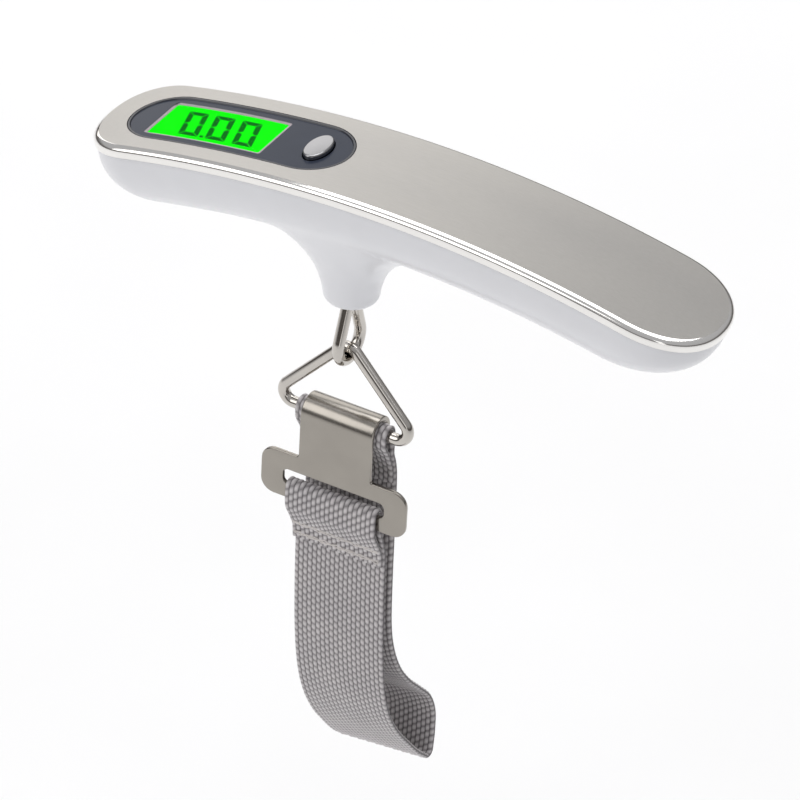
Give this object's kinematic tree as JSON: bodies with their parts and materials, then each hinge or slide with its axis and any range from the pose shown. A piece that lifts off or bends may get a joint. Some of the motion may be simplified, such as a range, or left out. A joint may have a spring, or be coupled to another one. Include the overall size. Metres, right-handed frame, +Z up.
{
  "type": "digital luggage scale",
  "caption": "Hand-held digital luggage scale: arched grip with steel cover and lit display, load cell, hanging eye, triangle ring, hook plate and webbing loop.",
  "frame": {"origin": "middle of the grip, halfway up its thickness, where the hand holds the scale", "axes": "+X along the grip towards its long plain end, +Z up, -Y towards the front face that the hook plate looks to"},
  "size_m": [0.1456, 0.043, 0.1666],
  "materials": {
    "white_shell": "satin white moulded ABS",
    "deck_plastic": "matt light grey moulding",
    "brushed_cover": "fine brushed stainless with a polished rolled edge",
    "adhesive": "thin foam tape",
    "bezel_plastic": "glossy dark blue-grey moulding",
    "clear_lens": "clear acrylic",
    "lcd_green": "backlit display glass",
    "lcd_digits": "dark display segments",
    "light_guide": "frosted light guide",
    "zebra": "layered conductive rubber strip",
    "board": "glass-fibre circuit board",
    "epoxy": "black potting",
    "components": "small soldered parts",
    "plated_steel": "zinc-plated steel",
    "switch_black": "black switch body",
    "button_chrome": "satin chrome-plated plastic",
    "cell_alloy": "machined aluminium",
    "gauge_film": "foil gauge on polyimide film",
    "coin_steel": "stainless coin cell can",
    "holder_plastic": "natural moulding",
    "contact_brass": "sprung contact strip",
    "wire_cover": "soft wire insulation",
    "nickel_wire": "polished nickel plate",
    "nickel_plate": "satin nickel plate with bright edges",
    "grey_webbing": "coarse basket-weave polyester webbing"
  },
  "bodies": {
    "grip": {"lower_shell": "white_shell", "top_deck": "deck_plastic", "steel_cover": "brushed_cover", "cover_adhesive": "adhesive", "display_bezel": "bezel_plastic", "lcd_window": "clear_lens", "lcd_panel": "lcd_green", "lcd_segments": "lcd_digits", "backlight_guide": "light_guide", "lcd_holder": "deck_plastic", "zebra_connector": "zebra", "pcb": "board", "pcb_chip": "epoxy", "pcb_components": "components", "pcb_screws": "plated_steel", "tact_switch": "switch_black", "load_cell": "cell_alloy", "strain_gauges": "gauge_film", "load_cell_screws": "plated_steel", "deck_screws": "plated_steel", "battery_cell": "coin_steel", "battery_holder": "holder_plastic", "battery_contact_pos": "contact_brass", "battery_contact_neg": "contact_brass", "battery_wires": "wire_cover", "gauge_wires": "wire_cover"},
    "button": {"power_button": "button_chrome", "switch_plunger": "switch_black"},
    "battery_door": {"battery_door": "white_shell"},
    "hanger": {"load_hanger": "nickel_wire", "hanger_washer": "plated_steel", "hanger_nut": "plated_steel"},
    "ring": {"triangle_ring": "nickel_wire"},
    "strap": {"strap_loop": "grey_webbing"},
    "hook": {"hook_plate": "nickel_plate", "strap_hem": "grey_webbing"}
  },
  "joints": [
    {"name": "button_press", "type": "slide", "parent": "grip", "child": "button", "axis": [0.0801, 0, -0.9968], "range_m": [0, 0.0005], "stiffness_N_per_m": 1500},
    {"name": "battery_door_hinge", "type": "hinge", "parent": "grip", "child": "battery_door", "pos_m": [0.05199, 0, -0.01378], "axis": [0, -1, 0], "range_deg": [0, 75]},
    {"name": "hanger_swivel", "type": "hinge", "parent": "grip", "child": "hanger", "pos_m": [-0.013, 0, -0.03], "axis": [0, 0, 1], "continuous": true},
    {"name": "triangle_swing", "type": "hinge", "parent": "hanger", "child": "ring", "pos_m": [-0.013, 0, -0.03815], "axis": [1, 0, 0], "range_deg": [-50, 50]},
    {"name": "strap_swing", "type": "hinge", "parent": "ring", "child": "strap", "pos_m": [-0.013, 0, -0.05685], "axis": [1, 0, 0], "range_deg": [-35, 35]},
    {"name": "hook_swing", "type": "hinge", "parent": "strap", "child": "hook", "pos_m": [-0.013, 0, -0.05685], "axis": [-1, 0, 0], "range_deg": [0, 25]}
  ]
}
